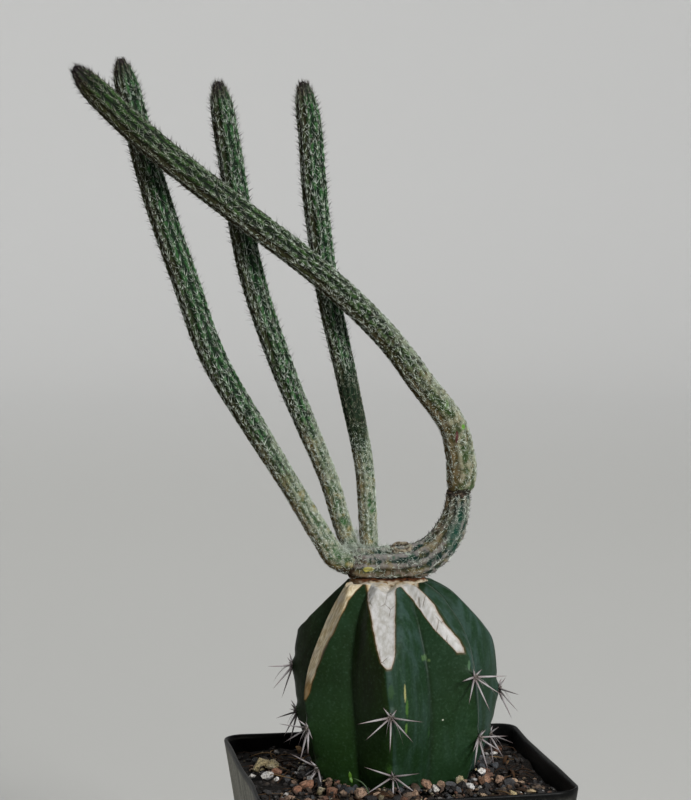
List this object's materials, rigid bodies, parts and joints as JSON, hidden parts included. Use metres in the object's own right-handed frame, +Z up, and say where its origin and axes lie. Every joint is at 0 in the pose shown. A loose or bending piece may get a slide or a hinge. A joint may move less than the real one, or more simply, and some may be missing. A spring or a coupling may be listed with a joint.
{
  "type": "potted grafted cactus",
  "caption": "Slender ribbed wilcoxia stems, one arching over the rest, grafted on a ribbed green globe cactus in a square black nursery pot.",
  "frame": {"origin": "centre of the pot's flat underside", "axes": "+Z up through the pot's open top; +X and +Y along the pot's sides; the stems lean to -X"},
  "size_m": [0.1222, 0.08, 0.2544],
  "materials": {
    "pot": "satin black, scuffed and dusty",
    "soil": "rough dark potting mix with pale and reddish grit",
    "stock_skin": "waxy dark green skin with cream cork scars",
    "old_stem": "corky grey-green bark with whitish bristles",
    "stem": "dark green ribs under fine whitish bristles"
  },
  "bodies": {
    "root": {"pot": "pot", "soil": "soil", "rootstock": "stock_skin", "scion_base": "old_stem", "stem_arching": "stem", "stem_left": "stem", "stem_middle": "stem", "stem_right": "stem"}
  },
  "joints": []
}
